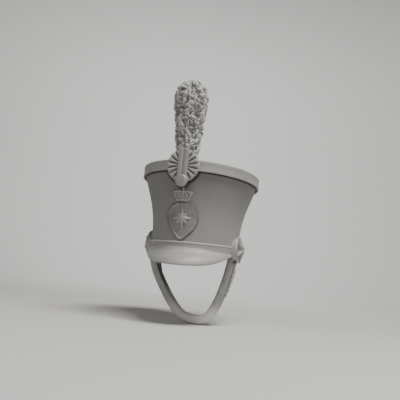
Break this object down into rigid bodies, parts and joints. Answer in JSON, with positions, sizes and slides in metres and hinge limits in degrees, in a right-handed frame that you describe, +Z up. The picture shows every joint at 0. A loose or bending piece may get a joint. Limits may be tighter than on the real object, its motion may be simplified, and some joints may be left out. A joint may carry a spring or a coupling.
{
  "type": "shako hat",
  "caption": "Tall flared felt shako with peak, side bosses, padded chin strap, plate under a crown ornament, pleated cockade and upright plume.",
  "frame": {"origin": "centre of the headband's lower rim, where the hat sits round a head", "axes": "+Z up along the crown, -Y towards the peak and the front plate, +X towards the wearer's left"},
  "size_m": [0.2478, 0.2787, 0.4827],
  "materials": {
    "felt": "matte felt with a short nap",
    "leather": "satin, softly grained",
    "cloth": "matte pleated ribbon and cord",
    "wool": "matte curled wool",
    "plate_metal": "dull white metal, softly worn"
  },
  "bodies": {
    "root": {"boss_left": "plate_metal", "boss_right": "plate_metal", "boss_star_left": "plate_metal", "boss_star_right": "plate_metal", "chin_scales": "plate_metal", "chin_strap": "leather", "cockade": "cloth", "cockade_base": "leather", "cockade_button": "plate_metal", "cockade_loop": "cloth", "crown_body": "felt", "crown_top": "leather", "headband": "leather", "peak": "leather", "plate_crown": "plate_metal", "plume": "wool", "plume_stem": "plate_metal", "shield_plate": "plate_metal", "shield_star": "plate_metal", "top_band": "leather"}
  },
  "joints": []
}
